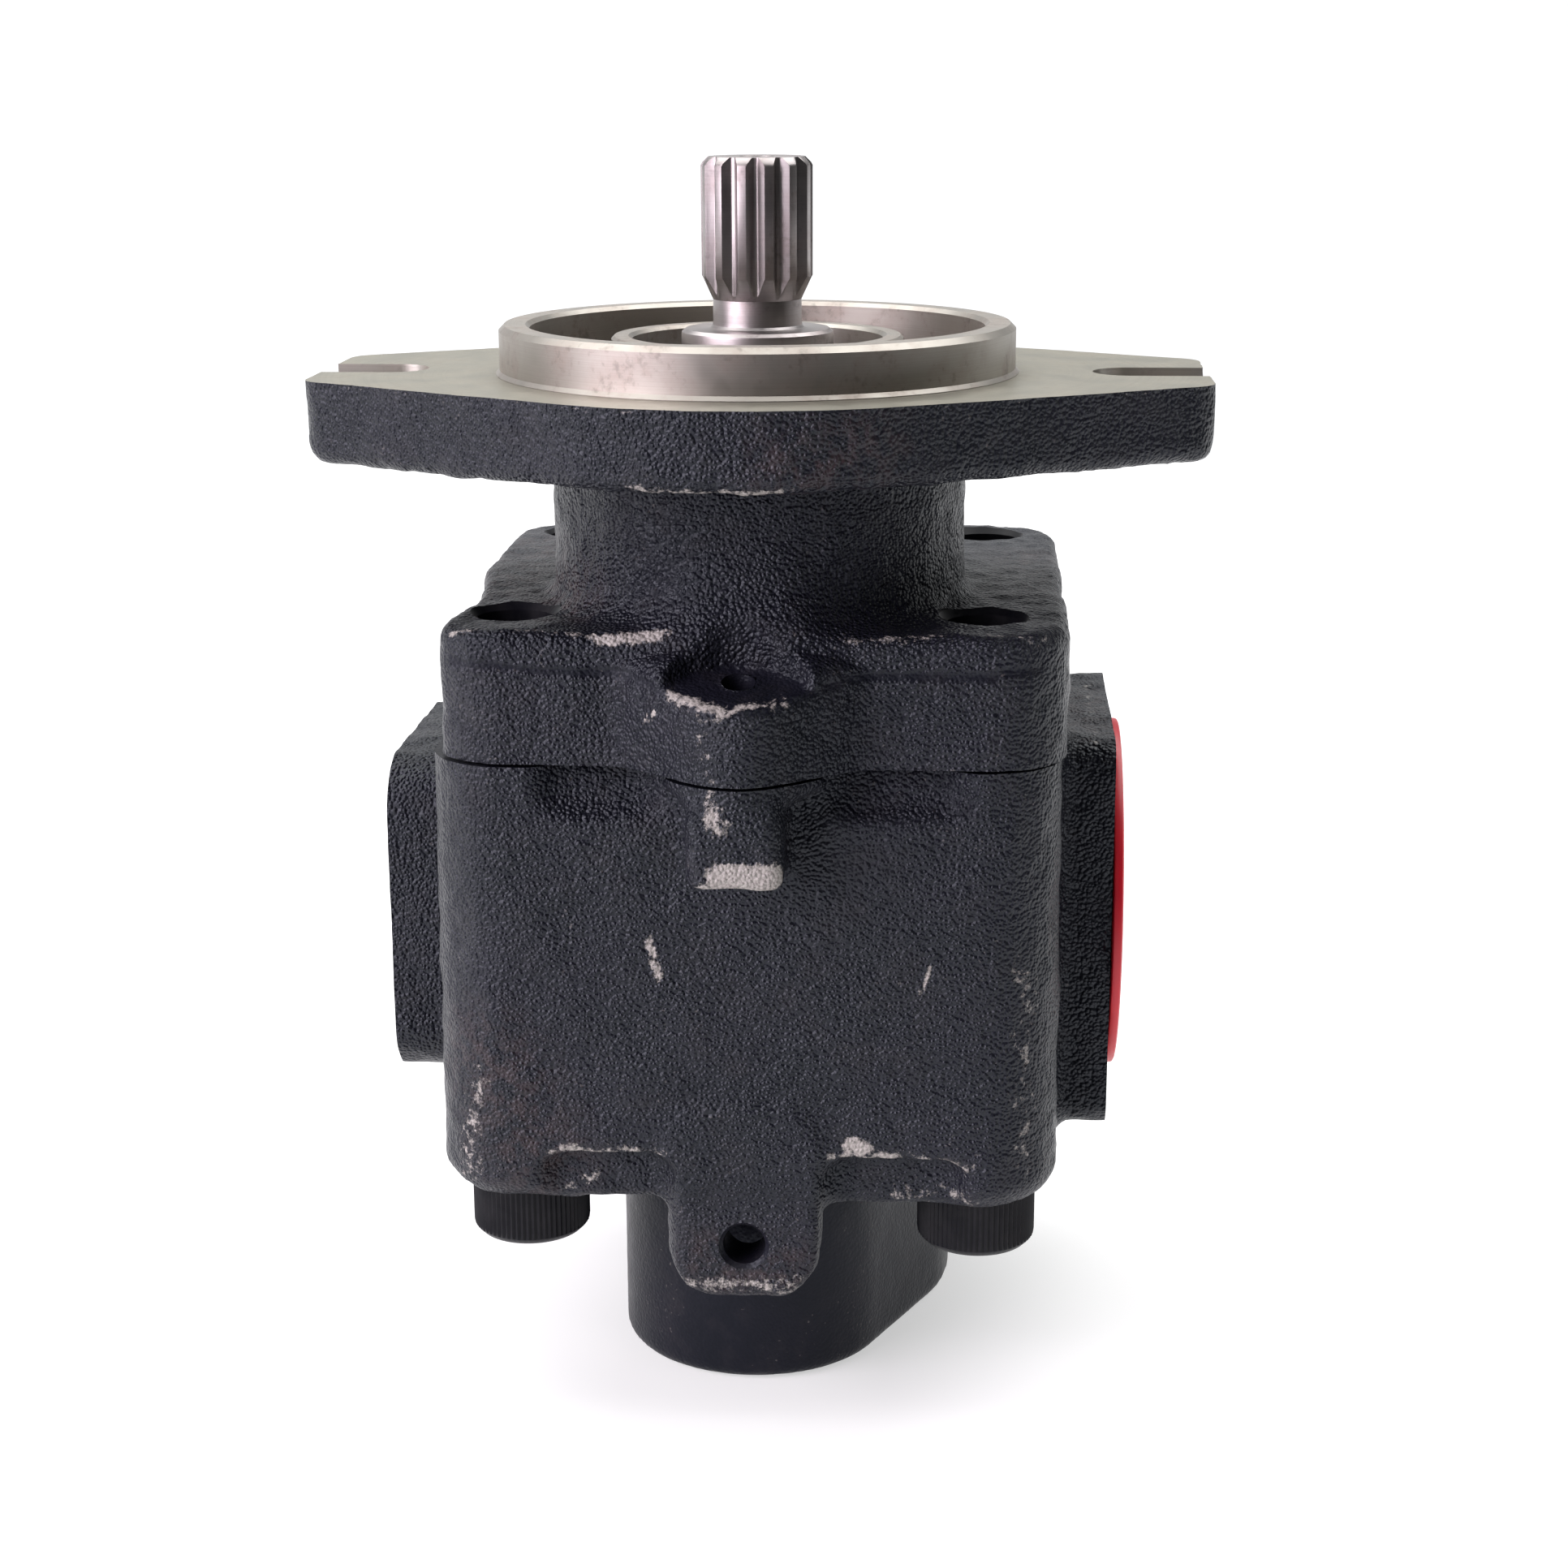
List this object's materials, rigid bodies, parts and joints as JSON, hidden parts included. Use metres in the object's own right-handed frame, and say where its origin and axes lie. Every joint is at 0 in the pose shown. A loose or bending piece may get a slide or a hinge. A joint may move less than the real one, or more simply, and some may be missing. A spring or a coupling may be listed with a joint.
{
  "type": "hydraulic gear pump",
  "caption": "Hydraulic gear pump with a two-bolt mounting flange, a splined drive shaft, meshing gears and side ports, one of them closed by a push-in plug.",
  "frame": {"origin": "where the drive shaft's axis meets the flat rear face that the pump stands on", "axes": "+Z along the drive shaft towards its splined end, +X towards the inlet port with the plug, +Y from the drive gear towards the driven gear, so the front with the lug faces -Y"},
  "size_m": [0.1743, 0.1462, 0.2467],
  "materials": {
    "black_casting": "painted black, satin",
    "gear_steel": "ground",
    "bright_steel": "satin",
    "black_screw_steel": "black oxide",
    "bearing_bronze": "machined",
    "seal_rubber": "matte",
    "red_plastic": "moulded"
  },
  "bodies": {
    "pump_body": {"front_cover": "black_casting", "gear_housing": "black_casting", "thrust_plate_front": "bearing_bronze", "thrust_plate_rear": "bearing_bronze", "thrust_plate_seal_front": "seal_rubber", "thrust_plate_seal_rear": "seal_rubber", "drive_front_bearing": "bearing_bronze", "drive_rear_bearing": "bearing_bronze", "driven_front_bearing": "bearing_bronze", "driven_rear_bearing": "bearing_bronze", "shaft_seal_case": "bright_steel", "shaft_seal_lip": "seal_rubber", "shaft_seal_garter_spring": "bright_steel", "seal_retaining_ring": "bright_steel", "housing_face_seal": "seal_rubber", "dowel_pin_left": "bright_steel", "dowel_pin_right": "bright_steel", "cap_screw_front_left": "black_screw_steel", "cap_screw_front_right": "black_screw_steel", "cap_screw_back_left": "black_screw_steel", "cap_screw_back_right": "black_screw_steel"},
    "drive_shaft": {"drive_gear_shaft": "gear_steel"},
    "driven_shaft": {"driven_gear_shaft": "gear_steel"},
    "inlet_plug": {"inlet_port_plug": "red_plastic"}
  },
  "joints": [
    {"name": "drive_shaft_turn", "type": "hinge", "parent": "pump_body", "child": "drive_shaft", "pos_m": [0, 0, 0.2], "axis": [0, 0, 1], "continuous": true},
    {"name": "driven_shaft_turn", "type": "hinge", "parent": "pump_body", "child": "driven_shaft", "pos_m": [0, 0.04127, 0.1], "axis": [0, 0, 1], "continuous": true},
    {"name": "inlet_plug_pull", "type": "slide", "parent": "pump_body", "child": "inlet_plug", "axis": [1, 0, 0], "range_m": [0, 0.018]}
  ],
  "couplings": [
    {"joint": "driven_shaft_turn", "follows": "drive_shaft_turn", "ratio": -1}
  ]
}
